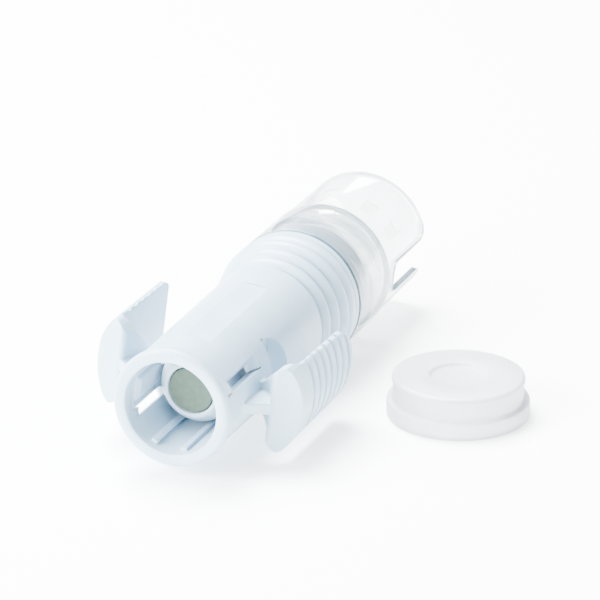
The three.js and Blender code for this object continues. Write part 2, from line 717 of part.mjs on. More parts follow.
function vialCollar() {
  const inner = COLLAR_R - COLLAR_WALL;
  const shell = turned([
    [SPIKE_R + GAP, COLLAR_START],
    [SOCKET_R - COLLAR_WALL, COLLAR_START],
    [SOCKET_R - COLLAR_WALL, COLLAR_START - COLLAR_SOCKET_LENGTH],
    [SOCKET_R, COLLAR_START - COLLAR_SOCKET_LENGTH],
    [SOCKET_R, COLLAR_START],
    [COLLAR_R, COLLAR_START],
    [COLLAR_R, COLLAR_END - 0.25],
    [COLLAR_R - 0.25, COLLAR_END],
    [inner, COLLAR_END],
    [inner, BULKHEAD_FACE],
    [SPIKE_R + GAP, BULKHEAD_FACE],
  ]);
  const half = COLLAR_SLOT_WIDTH / 2;
  const root = BULKHEAD_FACE + COLLAR_SLOT_ROOT;
  const flare = COLLAR_END - TONGUE_CORNER_R;
  const slot = pushed([
    ...arc(flare, half + TONGUE_CORNER_R, TONGUE_CORNER_R, 0, -90, 5),
    ...arc(root + COLLAR_SLOT_ROUND, half - COLLAR_SLOT_ROUND, COLLAR_SLOT_ROUND, 90, 180, 4),
    ...arc(root + COLLAR_SLOT_ROUND, COLLAR_SLOT_ROUND - half, COLLAR_SLOT_ROUND, 180, 270, 4),
    ...arc(flare, -half - TONGUE_CORNER_R, TONGUE_CORNER_R, 90, 0, 5),
    [COLLAR_END + 1, -half - TONGUE_CORNER_R],
    [COLLAR_END + 1, half + TONGUE_CORNER_R],
  ], 'x', -COLLAR_R - 1, COLLAR_R + 1);
  const bead = geometryOf(solid(new THREE.SphereGeometry(BEAD_R, 8, 6)));
  bead.scale(1, 1, 2);
  bead.translate(inner, BULKHEAD_FACE + CRIMP_HEIGHT + BEAD_R, 0);
  const beads = BEAD_ANGLES.flatMap((angle) => [angle, angle + 180]).map(
    (angle) => turnedBy(solid(bead), angle),
  );
  return join([shell.subtract(slot), ...beads]);
}

function vialSpike() {
  const start = HUB_TAIL_END + 2 * GAP + 0.6;
  const tip = COLLAR_END - SPIKE_RECESS;
  const shoulder = tip - SPIKE_POINT_LENGTH;
  return turned([
    [SPIKE_BORE_R, start],
    [HUB_BOSS_R, start],
    [HUB_BOSS_R, start + SPIKE_FOOT_LENGTH],
    [SPIKE_R, start + SPIKE_FOOT_LENGTH + HUB_BOSS_R - SPIKE_R],
    [SPIKE_R, shoulder],
    [SPIKE_R * 0.8, shoulder + SPIKE_POINT_LENGTH * 0.45],
    [0, tip],
    [0, shoulder],
    [SPIKE_BORE_R, shoulder - 1],
  ], AROUND_INNER);
}

// ---------------------------------------------------------------- dust cap

function dustCap() {
  const roof = CAP_HEIGHT - CAP_ROOF;
  const dimple = CAP_HEIGHT - CAP_DIMPLE_DEPTH;
  const cap = turned([
    [0, roof - CAP_DIMPLE_DEPTH],
    [CAP_DIMPLE_R + 0.5, roof - CAP_DIMPLE_DEPTH],
    [CAP_DIMPLE_R + 0.9, roof],
    [CAP_INNER_R - 0.5, roof],
    [CAP_INNER_R, roof - 0.5],
    [CAP_INNER_R, 0.4],
    [CAP_INNER_R + 0.4, 0],
    [CAP_FLANGE_R - 0.3, 0],
    [CAP_FLANGE_R, 0.3],
    [CAP_FLANGE_R, CAP_FLANGE_HEIGHT - 0.4],
    [CAP_FLANGE_R - 0.4, CAP_FLANGE_HEIGHT],
    [CAP_OUTER_R, CAP_FLANGE_HEIGHT + 0.15],
    [CAP_OUTER_R, CAP_HEIGHT - 1.1],
    [CAP_OUTER_R + CAP_BEAD, CAP_HEIGHT - 0.8],
    [CAP_OUTER_R + CAP_BEAD, CAP_HEIGHT - 0.5],
    [CAP_OUTER_R - 0.4, CAP_HEIGHT],
    [CAP_DIMPLE_R + 0.4, CAP_HEIGHT],
    [CAP_DIMPLE_R, dimple],
    [0, dimple],
  ]);
  const geometry = geometryOf(cap);
  geometry.rotateX(Math.PI / 2);
  return solid(geometry);
}

// ---------------------------------------------------------------- assembly

const device = new THREE.Group();
device.rotation.y = radians(ROLL);
const loose = new THREE.Group();
loose.position.set(PLATE_OUTER_X + CAP_FLANGE_R + CAP_BESIDE, CAP_BEHIND, FLOOR);

function add(group, name, body, material) {
  const mesh = new THREE.Mesh(geometryOf(body), material);
  mesh.name = name;
  group.add(mesh);
}

const lever = rightLever();
const springStart = CARRIER_END + FINE_GAP;
const springEnd = HUB_START - FINE_GAP;
const retainerStart = SEPTUM_END + FINE_GAP;

add(device, 'main_housing', housing(), whitePlastic());
add(device, 'left_lever', mirrored(lever), whitePlastic());
add(device, 'right_lever', lever, whitePlastic());
add(device, 'septum_carrier', septumCarrier(), whitePlastic());
add(device, 'septum', septum(), rubber());
add(device, 'septum_retainer', tube(
  SEPTUM_FLANGE_R, SEPTUM_FLANGE_R - RETAINER_WALL, retainerStart, retainerStart + RETAINER_LENGTH,
), whitePlastic());
add(device, 'return_spring', springCoil(springStart, springEnd), steel());
add(device, 'needle_hub', needleHub(), whitePlastic());
add(device, 'liquid_needle', needle(
  NEEDLE_R, NEEDLE_BORE_R, NEEDLE_TIP, HUB_TAIL_END - NEEDLE_SET_BACK, 0,
), steel());
add(device, 'vent_needle', needle(
  VENT_NEEDLE_R, VENT_NEEDLE_R - VENT_NEEDLE_WALL,
  NEEDLE_TIP + VENT_STEP, HUB_END - NEEDLE_SET_BACK, VENT_OFFSET,
), steel());
const sealRound = arc(
  HUB_SOCKET_R - FINE_GAP - SEAL_R, HUB_SOCKET_START + GAP + SEAL_R, SEAL_R, 0, 300, 5,
);
add(device, 'hub_seal', turned(sealRound, AROUND_INNER), rubber());
add(device, 'filter_support', filterSupport(), whitePlastic());
add(device, 'filter_membrane', tube(
  HUB_R, HUB_BOSS_R + GAP, MEMBRANE_START, MEMBRANE_START + MEMBRANE_LENGTH,
), plastic('white_membrane', '#f4f6f7', 0.9));
add(device, 'filter_ring', tube(
  HUB_R, HUB_R - FILTER_RING_WALL, FILTER_RING_START, FILTER_RING_START + FILTER_RING_LENGTH,
), whitePlastic());
add(device, 'fluid_filter', rod(
  HUB_BOSS_R - 0.4, HUB_TAIL_END + GAP, HUB_TAIL_END + GAP + 0.6,
), plastic('white_membrane', '#f4f6f7', 0.9));
add(device, 'end_ring', endRing(), whitePlastic());
add(device, 'clear_sleeve', clearSleeve(), clearPlastic());
add(device, 'vial_collar', vialCollar(), clearPlastic());
add(device, 'vial_spike', vialSpike(), clearPlastic());
add(loose, 'dust_cap', dustCap(), clear('milky_polyethylene', '#e9f2f9', 0.75));

const part = new THREE.Group();
part.add(device, loose);
part.updateMatrixWorld(true);
const extent = new THREE.Box3().setFromObject(part, true);
const middle = extent.getCenter(new THREE.Vector3());
part.position.set(-middle.x, -middle.y, -extent.min.z);

export default part;
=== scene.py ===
# %% [markdown]
# # Squeeze-release docking adaptor with its dust cap
#
# A white moulded housing holds a spring-loaded septum behind an open mouth. Two finger
# levers flank the mouth. A clear sleeve and a slotted clear vial collar sit at the rear,
# and the milky push-on dust cap lies beside the device.
#
# Every mesh is built in the device's own frame, in millimetres: y = 0 is the widest plane
# of the mouth ring and +y runs to the rear. One matrix then puts it in the row frame.

# %% Load the frame
import json
import math

import bmesh
import bpy
from mathutils import Matrix, Vector


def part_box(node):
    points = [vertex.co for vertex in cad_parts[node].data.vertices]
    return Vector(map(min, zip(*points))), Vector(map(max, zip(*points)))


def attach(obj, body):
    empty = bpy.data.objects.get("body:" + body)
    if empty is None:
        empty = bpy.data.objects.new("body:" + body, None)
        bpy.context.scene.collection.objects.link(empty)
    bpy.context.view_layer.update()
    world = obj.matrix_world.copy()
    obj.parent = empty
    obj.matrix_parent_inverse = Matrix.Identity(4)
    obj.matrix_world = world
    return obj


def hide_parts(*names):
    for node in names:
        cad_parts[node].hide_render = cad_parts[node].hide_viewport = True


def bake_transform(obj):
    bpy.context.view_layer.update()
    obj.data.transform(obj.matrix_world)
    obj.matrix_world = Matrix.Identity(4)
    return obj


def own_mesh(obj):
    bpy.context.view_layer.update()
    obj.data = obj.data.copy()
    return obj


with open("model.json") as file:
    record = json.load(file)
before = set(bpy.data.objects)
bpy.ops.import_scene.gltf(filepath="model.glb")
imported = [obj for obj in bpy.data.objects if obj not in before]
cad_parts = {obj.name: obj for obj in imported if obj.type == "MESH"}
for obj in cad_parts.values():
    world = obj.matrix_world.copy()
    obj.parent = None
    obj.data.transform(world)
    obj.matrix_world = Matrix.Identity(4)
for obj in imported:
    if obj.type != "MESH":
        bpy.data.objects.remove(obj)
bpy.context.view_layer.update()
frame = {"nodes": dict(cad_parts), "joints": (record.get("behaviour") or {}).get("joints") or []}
joints = {joint["name"]: joint for joint in frame["joints"]}

# %% [markdown]
# ## Where the device lies
#
# The lever's hinge axis gives the roll, and the clear sleeve and the housing give the
# device's axis. The CAD shells have 48 flats, so the round shells here are turned to the
# distance of a flat and stay inside them.

# %% Device frame
MM = 0.001
FLAT = math.cos(math.pi / 48)
MOUTH_FRONT = -1.1
hinge = Vector(joints["right_lever_hinge"]["axis"])
ROLL = math.atan2(hinge.x, hinge.z)
sleeve_low, sleeve_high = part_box("clear_sleeve")
housing_low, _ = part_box("main_housing")
middle = (sleeve_low + sleeve_high) / 2
ORIGIN = Vector((middle.x, housing_low.y - MOUTH_FRONT * MM, middle.z))
DEVICE = (
    Matrix.Translation(ORIGIN)
    @ Matrix.Rotation(ROLL, 4, "Y")
    @ Matrix.Diagonal((MM * FLAT, MM, MM * FLAT, 1))
)
cap_low, cap_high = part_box("dust_cap")
CAP_PLACE = Matrix.Translation(
    ((cap_low.x + cap_high.x) / 2, (cap_low.y + cap_high.y) / 2, 0)
) @ Matrix.Diagonal((MM * FLAT, MM * FLAT, MM, 1))
print("roll", round(math.degrees(ROLL), 2), "origin", [round(v, 5) for v in ORIGIN])

# %% [markdown]
# ## Sizes
#
# The sizes that the pieces share, in millimetres. They are those of the CAD model.

# %% Shared sizes
MOUTH_R = 7.9
NECK_R = 9.6
FLARE = 0.55
BODY_END = 38.3
GRIP_START = 39.2
GRIP_PITCH = 2.67
GRIP_STEP_R = 0.6
GROOVE_DEPTH = 1.05
GUIDE_R = 6.6
GUIDE_START = 20.2
CHAMBER_R = 8.0
CHAMBER_START = 28.0
SOCKET_START = 46.2
SOCKET_BORE_R = 8.9
SPIGOT_START = 51.5
SPIGOT_R = 10.27
SPIGOT_END = 57.3
SLEEVE_R = 12.0
SLEEVE_BORE_R = 10.9
SLEEVE_START = 51.8
SLEEVE_END = 65.8
COLLAR_R = 11.75
COLLAR_BORE_R = 10.7
COLLAR_START = 66.1
COLLAR_END = 84.2
BULKHEAD_FACE = 67.4
STRIP_ANGLE = 24.0
STRIP_START = 1.6
STRIP_END = 17.6
SCOOP_START = 17.7
BAND_ANGLE = 42.0
BAND_START = 14.3
WING_HALF = 7.75
PLATE_IN = 15.4
PLATE_OUT = 18.3
PANEL_HALF = 2.3
PANEL_START = 7.0
PANEL_END = 31.0
SLOT_END = 18.2
SCOOP_R = 8.1
AROUND = 160


def skin(y):
    """Outer radius of the barrel at y."""
    return NECK_R + FLARE * y / BODY_END


print("barrel radius at its rear", round(skin(BODY_END), 2))

# %% [markdown]
# ## Mesh helpers
#
# A piece is turned from a profile or pushed from an outline, cut and joined with exact
# Booleans, softened, and then finished: put in the row frame, shaded, given its material
# and tied to its CAD body.

# %% Mesh helpers
def mesh_piece(name, points, faces):
    mesh = bpy.data.meshes.new(name)
    mesh.from_pydata(points, [], faces)
    piece = bpy.data.objects.new(name, mesh)
    bpy.context.scene.collection.objects.link(piece)
    return piece


def outward(piece):
    """Turns all faces outwards."""
    shape = bmesh.new()
    shape.from_mesh(piece.data)
    bmesh.ops.recalc_face_normals(shape, faces=shape.faces)
    shape.to_mesh(piece.data)
    shape.free()
    return piece


def polar(radius, degrees, y):
    angle = math.radians(degrees)
    return (radius * math.cos(angle), y, radius * math.sin(angle))


def arc(u, v, radius, start, end, steps):
    """Points of an arc about (u, v), in degrees, both ends included."""
    angles = [math.radians(start + (end - start) * i / steps) for i in range(steps + 1)]
    return [(u + radius * math.cos(a), v + radius * math.sin(a)) for a in angles]


def turned(name, profile, around=AROUND):
    """A closed profile of (radius, y) points turned about the Y axis."""
    points, rings = [], []
    for radius, y in profile:
        if radius < 1e-6:
            rings.append([len(points)] * around)
            points.append((0, y, 0))
        else:
            rings.append(list(range(len(points), len(points) + around)))
            points += [polar(radius, 360 * i / around, y) for i in range(around)]
    faces = []
    for a, b in zip(rings, rings[1:] + rings[:1]):
        for i in range(around):
            k = (i + 1) % around
            face = list(dict.fromkeys((a[i], a[k], b[k], b[i])))
            if len(face) > 2:
                faces.append(face)
    return outward(mesh_piece(name, points, faces))


def pushed(name, outline, axis, start, end):
    """An outline pushed along one axis; its two coordinates are the other two axes."""
    order = {"x": (2, 0, 1), "y": (0, 2, 1), "z": (0, 1, 2)}[axis]
    points = []
    for depth in (start, end):
        for u, v in outline:
            given = (u, v, depth)
            points.append(tuple(given[i] for i in order))
    sides = len(outline)
    faces = [list(range(sides)), list(range(2 * sides - 1, sides - 1, -1))]
    faces += [(i, (i + 1) % sides, (i + 1) % sides + sides, i + sides) for i in range(sides)]
    return outward(mesh_piece(name, points, faces))


def block(name, lows, highs):
    (x0, y0, z0), (x1, y1, z1) = lows, highs
    return pushed(name, [(x0, y0), (x1, y0), (x1, y1), (x0, y1)], "z", z0, z1)


def sector(name, inner, outer, start, end, y0, y1, steps=24):
    """A ring sector between two angles measured from +X towards +Z."""
    outline = arc(0, 0, outer, start, end, steps) + arc(0, 0, inner, end, start, steps)
    return pushed(name, outline, "y", y0, y1)


print("mesh helpers ready")

# %% [markdown]
# Modifiers are baked at once, so that a finished piece is a plain mesh.

# %% Modifier helpers
def bake(piece):
    graph = bpy.context.evaluated_depsgraph_get()
    mesh = bpy.data.meshes.new_from_object(piece.evaluated_get(graph))
    old = piece.data
    piece.modifiers.clear()
    piece.data = mesh
    bpy.data.meshes.remove(old)
    return piece


def combined(piece, others, operation):
    """Cuts others from piece, joins them to it or keeps what they share."""
    for other in others:
        cut = piece.modifiers.new("combine", "BOOLEAN")
        cut.object = other
        cut.operation = operation
        cut.solver = "EXACT"
        bake(piece)
        bpy.data.objects.remove(other)
    return piece


def gathered(name, pieces):
    """One mesh that holds several closed meshes."""
    shape = bmesh.new()
    for piece in pieces:
        shape.from_mesh(piece.data)
        bpy.data.objects.remove(piece)
    mesh = bpy.data.meshes.new(name)
    shape.to_mesh(mesh)
    shape.free()
    whole = bpy.data.objects.new(name, mesh)
    bpy.context.scene.collection.objects.link(whole)
    return whole


def moved(piece, matrix):
    piece.data.transform(matrix)
    if matrix.determinant() < 0:
        piece.data.flip_normals()
    return piece


def copied(piece, matrix):
    twin = piece.copy()
    twin.data = piece.data.copy()
    bpy.context.scene.collection.objects.link(twin)
    return moved(twin, matrix)


def softened(piece, width, until=1e9, angle=32, segments=2):
    """Rounds the sharp edges ahead of y = until."""
    shape = bmesh.new()
    shape.from_mesh(piece.data)
    bmesh.ops.remove_doubles(shape, verts=shape.verts, dist=0.02)
    bmesh.ops.dissolve_degenerate(shape, dist=0.01, edges=shape.edges)
    weight = shape.edges.layers.float.new("bevel_weight_edge")
    for edge in shape.edges:
        sharp = len(edge.link_faces) == 2 and edge.calc_face_angle(0) > math.radians(angle)
        ahead = max(v.co.y for v in edge.verts) < until
        edge[weight] = 1.0 if sharp and ahead else 0.0
    shape.to_mesh(piece.data)
    shape.free()
    bevel = piece.modifiers.new("soften", "BEVEL")
    bevel.width = width
    bevel.segments = segments
    bevel.limit_method = "WEIGHT"
    bevel.use_clamp_overlap = True
    return bake(piece)


def remeshed(piece, voxel, smoothing):
    """One soft skin round everything in piece."""
    remesh = piece.modifiers.new("remesh", "REMESH")
    remesh.mode = "VOXEL"
    remesh.voxel_size = voxel
    smooth = piece.modifiers.new("smooth", "SMOOTH")
    smooth.factor = 0.5
    smooth.iterations = smoothing
    return bake(piece)


MIRROR = Matrix.Diagonal((-1, 1, 1, 1))
UPEND = Matrix.Diagonal((1, 1, -1, 1))


def about_axis(degrees):
    """A turn about the Y axis, from +X towards +Z."""
    return Matrix.Rotation(math.radians(-degrees), 4, "Y")


print("modifier helpers ready")

# %% [markdown]
# ## Material helpers
#
# `node` adds one shader node with its settings and its links, and `surface` makes a
# material from a Principled shader. Patterns are given by their real size in millimetres
# and run on Object coordinates.

# %% Material helpers
def colour(code):
    """A linear colour from an sRGB hex code."""
    channels = [int(code[i : i + 2], 16) / 255 for i in (1, 3, 5)]
    linear = [c / 12.92 if c <= 0.04045 else ((c + 0.055) / 1.055) ** 2.4 for c in channels]
    return (*linear, 1)


def node(tree, kind, settings=None, **inputs):
    """Adds a node. An input given as a socket is linked, and any other value is set."""
    made = tree.nodes.new(kind)
    for key, value in (settings or {}).items():
        setattr(made, key, value)
    for key, value in inputs.items():
        socket = made.inputs[key.replace("_", " ")]
        if isinstance(value, bpy.types.NodeSocket):
            tree.links.new(value, socket)
        else:
            socket.default_value = value
    return made


def surface(name, **inputs):
    """A material with one Principled shader. Returns the material, its tree and the shader."""
    material = bpy.data.materials.new(name)
    material.use_nodes = True
    tree = material.node_tree
    tree.nodes.clear()
    shader = node(tree, "ShaderNodeBsdfPrincipled", **inputs)
    node(tree, "ShaderNodeOutputMaterial", Surface=shader.outputs[0])
    return material, tree, shader


def noise(tree, size_mm, detail=2.0):
    """Noise whose features are about size_mm across."""
    place = node(tree, "ShaderNodeTexCoord").outputs["Object"]
    return node(
        tree, "ShaderNodeTexNoise", Vector=place, Scale=1 / (size_mm * MM), Detail=detail
    ).outputs[0]


def grain(tree, shader, size_mm, height_mm, detail=2.0):
    """A fine relief on the shader's normal."""
    bump = node(
        tree, "ShaderNodeBump", Height=noise(tree, size_mm, detail), Strength=1.0,
        Distance=height_mm * MM,
    )
    tree.links.new(bump.outputs[0], shader.inputs["Normal"])


def spread(tree, factor, low, high):
    """Maps a noise factor to a range."""
    return node(
        tree, "ShaderNodeMapRange", Value=factor, From_Min=0.3, From_Max=0.7,
        To_Min=low, To_Max=high,
    ).outputs[0]


def tinted(tree, factor, low, high):
    """Mixes two colours by a factor."""
    ramp = node(tree, "ShaderNodeValToRGB", Fac=factor)
    ramp.color_ramp.elements[0].position = 0.35
    ramp.color_ramp.elements[0].color = colour(low)
    ramp.color_ramp.elements[1].position = 0.65
    ramp.color_ramp.elements[1].color = colour(high)
    return ramp.outputs[0]


print("material helpers ready")

# %% [markdown]
# ## Materials
#
# White polypropylene has a fine moulded grain and a slightly uneven gloss. The septum is
# a matt, faintly mottled elastomer. The rear parts are clear polycarbonate. Light is caught
# in their cut ends, which look darker than their walls, so their end and side faces get a
# material of their own with a dark, nearly opaque tint: painted shade for that effect.
# The cap is milky polyethylene that light passes through.

# %% Materials
def moulded_white(name, shade, light, rough):
    material, tree, shader = surface(
        name, IOR=1.49, Subsurface_Weight=0.12, Subsurface_Scale=0.0004,
        Subsurface_Radius=(1.0, 1.0, 1.1),
    )
    soft = noise(tree, 4.0)
    tree.links.new(tinted(tree, soft, shade, light), shader.inputs["Base Color"])
    gloss = spread(tree, noise(tree, 1.5), rough - 0.04, rough + 0.05)
    tree.links.new(gloss, shader.inputs["Roughness"])
    grain(tree, shader, 0.12, 0.0015)
    return material


def elastomer():
    material, tree, shader = surface("septum_elastomer", IOR=1.43)
    blotch = noise(tree, 1.1, 4.0)
    tree.links.new(tinted(tree, blotch, "#34463B", "#405246"), shader.inputs["Base Color"])
    tree.links.new(spread(tree, blotch, 0.5, 0.68), shader.inputs["Roughness"])
    grain(tree, shader, 0.25, 0.01, 4.0)
    return material


def clear_plastic(name, tint, clarity, cover):
    material, tree, shader = surface(
        name, Base_Color=colour(tint), IOR=1.52, Transmission_Weight=clarity, Alpha=cover
    )
    tree.links.new(spread(tree, noise(tree, 2.5), 0.04, 0.09), shader.inputs["Roughness"])
    grain(tree, shader, 3.0, 0.01)
    return material


def milky_plastic():
    material, tree, shader = surface(
        "milky_polyethylene", Base_Color=colour("#F2F9FF"), IOR=1.45, Transmission_Weight=0.6,
        Subsurface_Weight=0.6, Subsurface_Scale=0.0015, Subsurface_Radius=(1.0, 1.05, 1.15),
    )
    tree.links.new(spread(tree, noise(tree, 2.0), 0.3, 0.38), shader.inputs["Roughness"])
    grain(tree, shader, 0.3, 0.003)
    return material


def steel(name):
    material, tree, shader = surface(name, Base_Color=colour("#C6CACD"), Metallic=1.0)
    tree.links.new(spread(tree, noise(tree, 0.4), 0.2, 0.32), shader.inputs["Roughness"])
    return material


def membrane():
    material, tree, shader = surface("filter_membrane", Roughness=0.9)
    fibres = noise(tree, 0.2, 5.0)
    tree.links.new(tinted(tree, fibres, "#E6EAEC", "#F5F7F8"), shader.inputs["Base Color"])
    grain(tree, shader, 0.15, 0.02, 5.0)
    return material


WHITE = moulded_white("white_polypropylene", "#99B2C4", "#9FB8C8", 0.36)
LEVER_WHITE = moulded_white("lever_polypropylene", "#99B2C4", "#9FB8C8", 0.38)
CARRIER_WHITE = moulded_white("carrier_polypropylene", "#A2B7C4", "#A8BCC9", 0.34)
RUBBER = elastomer()
CLEAR = clear_plastic("clear_polycarbonate", "#EDF6FB", 0.95, 0.55)
# painted shade: a dark, nearly opaque tint for the cut ends of the clear parts
CLEAR_PAINTED_SHADE_EDGE = clear_plastic("clear_polycarbonate_edge", "#4F6673", 0.15, 0.95)
MILKY = milky_plastic()
SPRING_STEEL = steel("spring_steel")
NEEDLE_STEEL = steel("needle_steel")
MEMBRANE = membrane()
print(len(bpy.data.materials), "materials in the file")

# %% [markdown]
# ## Finishing and repeating
#
# `finished` completes a piece. `repeated` is a Geometry Nodes group for whatever repeats:
# it sets a part on points that step along a line or turn about the device's axis.

# %% Finish a piece
def finished(piece, material, body=None, stands_for=(), angle=34, place=DEVICE):
    moved(piece, place)
    piece.data.shade_smooth()
    piece.data.set_sharp_from_angle(angle=math.radians(angle))
    if not piece.data.materials:
        piece.data.materials.append(material)
    if body:
        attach(piece, body)
    if stands_for:
        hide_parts(*stands_for)
    print(piece.name, len(piece.data.polygons), "faces")
    return piece


def with_painted_shade_edges(piece, least=10.8):
    """Paints the narrow end and side faces of a clear shell dark: painted shade for the dark lines
    that light makes in cut ends of clear plastic.
    """
    piece.data.materials.append(CLEAR)
    piece.data.materials.append(CLEAR_PAINTED_SHADE_EDGE)
    for face in piece.data.polygons:
        out = Vector((face.center.x, 0, face.center.z))
        flat = abs(face.normal.dot(out.normalized())) < 0.55
        face.material_index = int(flat and out.length > least)
    return piece


def node_group(name, sockets):
    """An empty Geometry Nodes group with the named inputs and a Geometry output."""
    group = bpy.data.node_groups.new(name, "GeometryNodeTree")
    for label, kind in sockets:
        group.interface.new_socket(label, in_out="INPUT", socket_type=kind)
    group.interface.new_socket("Geometry", in_out="OUTPUT", socket_type="NodeSocketGeometry")
    return group


def generated(name, group, values):
    """A piece made by a Geometry Nodes group, as a plain mesh."""
    piece = mesh_piece(name, [], [])
    modifier = piece.modifiers.new(group.name, "NODES")
    modifier.node_group = group
    for item in group.interface.items_tree:
        if item.in_out == "INPUT" and item.name in values:
            modifier[item.identifier] = values[item.name]
    return outward(bake(piece))


repeat_group = node_group("repeat_part", [
    ("Part", "NodeSocketObject"),
    ("Count", "NodeSocketInt"),
    ("Step", "NodeSocketVector"),
    ("Turn", "NodeSocketFloat"),
    ("Material", "NodeSocketMaterial"),
])
given = node(repeat_group, "NodeGroupInput").outputs
index = node(repeat_group, "GeometryNodeInputIndex").outputs[0]
points = node(repeat_group, "GeometryNodePoints", Count=given["Count"]).outputs[0]
stepped = node(repeat_group, "ShaderNodeVectorMath", {"operation": "SCALE"}, Scale=index)
repeat_group.links.new(given["Step"], stepped.inputs[0])
spun = node(repeat_group, "ShaderNodeMath", {"operation": "MULTIPLY"})
repeat_group.links.new(index, spun.inputs[0])
repeat_group.links.new(given["Turn"], spun.inputs[1])
rotation = node(repeat_group, "ShaderNodeCombineXYZ", Y=spun.outputs[0]).outputs[0]
set_out = node(
    repeat_group, "GeometryNodeSetPosition", Geometry=points, Position=stepped.outputs[0]
).outputs[0]
part = node(repeat_group, "GeometryNodeObjectInfo", Object=given["Part"]).outputs["Geometry"]
placed = node(
    repeat_group, "GeometryNodeInstanceOnPoints", Points=set_out, Instance=part, Rotation=rotation
).outputs[0]
real = node(repeat_group, "GeometryNodeRealizeInstances", Geometry=placed).outputs[0]
coated = node(
    repeat_group, "GeometryNodeSetMaterial", Geometry=real, Material=given["Material"]
).outputs[0]
node(repeat_group, "NodeGroupOutput", Geometry=coated)


def repeated(part, count, step=(0, 0, 0), turn=0.0, material=None):
    """Several copies of part, each moved by step and turned about the Y axis from the last."""
    values = {
        "Part": part, "Count": count, "Step": step, "Turn": -math.radians(turn),
        "Material": material or WHITE,
    }
    whole = generated(part.name + "_row", repeat_group, values)
    bpy.data.objects.remove(part)
    return whole


print("repeat group with", len(repeat_group.nodes), "nodes")

# %% [markdown]
# ## Housing
#
# The shell is turned from one profile: the rounded mouth ring, the slightly flared barrel,
# four stepped grip rings with a narrow flange behind them, and the spigot inside the clear
# sleeve. The sides are then opened for the levers.

# %% Housing shell
def housing_profile():
    ring = [(MOUTH_R, -0.65), (MOUTH_R + 0.12, -0.95), (MOUTH_R + 0.4, -1.1)]
    ring += arc(9.3, -0.3, 0.8, -90, 0, 8) + arc(9.55, 0.35, 0.55, 0, 60, 5)
    ring += [(9.72, 0.98), (9.64, 1.15), (skin(1.5), 1.5)]
    barrel = [(skin(y), y) for y in (4, 8, 14, 20, 26, 32, 36, BODY_END)]
    barrel += [(skin(38.6), 38.55), (skin(BODY_END) - 0.12, 38.8), (skin(BODY_END) - 0.4, 39.0)]
    grips = []
    for i in range(4):
        start = GRIP_START + i * GRIP_PITCH
        low = skin(BODY_END) + i * GRIP_STEP_R - GROOVE_DEPTH
        crest = min(skin(BODY_END) + (i + 1) * GRIP_STEP_R, SLEEVE_R)
        for k in range(15):
            t = k / 15
            lift = (crest - low - GRIP_STEP_R / 2) * math.sin(math.pi * t) ** 0.45
            grips.append((min(low + GRIP_STEP_R * t + lift, SLEEVE_R), start + GRIP_PITCH * t))
    flange = GRIP_START + 4 * GRIP_PITCH
    grips += [(11.2, flange), (11.6, flange + 0.15), (11.8, flange + 0.4)]
    grips += [(11.85, SPIGOT_START - 0.5), (11.8, SPIGOT_START - 0.15), (11.65, SPIGOT_START)]
    rear = [(SPIGOT_R, SPIGOT_START), (SPIGOT_R, SPIGOT_END - 0.2), (SPIGOT_R - 0.2, SPIGOT_END)]
    inside = [
        (SOCKET_BORE_R, SPIGOT_END), (SOCKET_BORE_R, SOCKET_START), (CHAMBER_R, SOCKET_START),
        (CHAMBER_R, CHAMBER_START), (GUIDE_R, CHAMBER_START), (GUIDE_R, GUIDE_START + 0.3),
        (GUIDE_R + 0.3, GUIDE_START), (MOUTH_R, GUIDE_START),
    ]
    return ring + barrel + grips + rear + inside


shell = turned("housing_shell", housing_profile())
print("housing profile turned,", len(shell.data.polygons), "faces")

# %% [markdown]
# The openings of one side are the strip's slot, two bevelled windows, the place of the two
# twisting bands, the narrow slot behind them, and the scoop for the fingertip. They are cut
# with Booleans, because each is a simple solid, and the other side gets mirrored copies.

# %% Housing openings
def window_cutter():
    inner, outer = STRIP_ANGLE - 4, 35
    layers = [
        (MOUTH_R - 1, [(inner, 3.9), (inner, 12.2), (outer, 12.2), (outer, 2.5)]),
        (MOUTH_R + 0.8, [(inner, 3.9), (inner, 12.2), (outer, 12.2), (outer, 2.5)]),
        (NECK_R + 1.2, [(inner, 3.4), (inner, 14.1), (outer + 9, 14.1), (outer + 9, 2.0)]),
    ]
    points = [polar(radius, angle, y) for radius, outline in layers for angle, y in outline]
    faces = [(0, 1, 2, 3), (8, 9, 10, 11)]
    for base in (0, 4):
        faces += [
            (base + i, base + (i + 1) % 4, base + (i + 1) % 4 + 4, base + i + 4) for i in range(4)
        ]
    return outward(mesh_piece("window", points, faces))


def side_cutters():
    edge = STRIP_ANGLE + 1.8
    deep = GUIDE_R + 0.45
    opening = sector("opening", MOUTH_R - 1, 12.2, -edge, edge, 1.3, GUIDE_START)
    bands = sector("bands", MOUTH_R - 0.6, 12.3, -BAND_ANGLE, BAND_ANGLE, BAND_START - 0.05, 17.75)
    slot = sector("slot", deep + 0.05, 12.4, -46, 46, SCOOP_START, SLOT_END)
    scoop_x = deep + SCOOP_R
    scoop = pushed("scoop", arc(scoop_x, SCOOP_START, SCOOP_R, 90, 180, 40) + [
        (scoop_x, SCOOP_START)
    ], "z", -12.5, 12.5)
    window = window_cutter()
    return [opening, bands, slot, scoop, copied(window, UPEND), window]


cutters = side_cutters()
cutters += [copied(cutter, MIRROR) for cutter in cutters]
panel_front = math.sqrt(skin(PANEL_START) ** 2 - PANEL_HALF**2)
panel_rear = math.sqrt(skin(PANEL_END) ** 2 - PANEL_HALF**2)
panel = pushed("panel", [
    (PANEL_START, panel_front), (PANEL_END, panel_rear), (PANEL_END, 12), (PANEL_START, 12),
], "x", -PANEL_HALF, PANEL_HALF)
cutters += [panel, copied(panel, UPEND)]
combined(shell, cutters, "DIFFERENCE")
print("openings cut,", len(shell.data.polygons), "faces")

# %% [markdown]
# Four guide ribs stand in the mouth's bore and two small lugs on the spigot. They repeat
# about the axis, so the Geometry Nodes group sets them. The flat panel meets the round
# barrel at a shallow angle, which smooth shading would hide, so its edges are marked sharp.

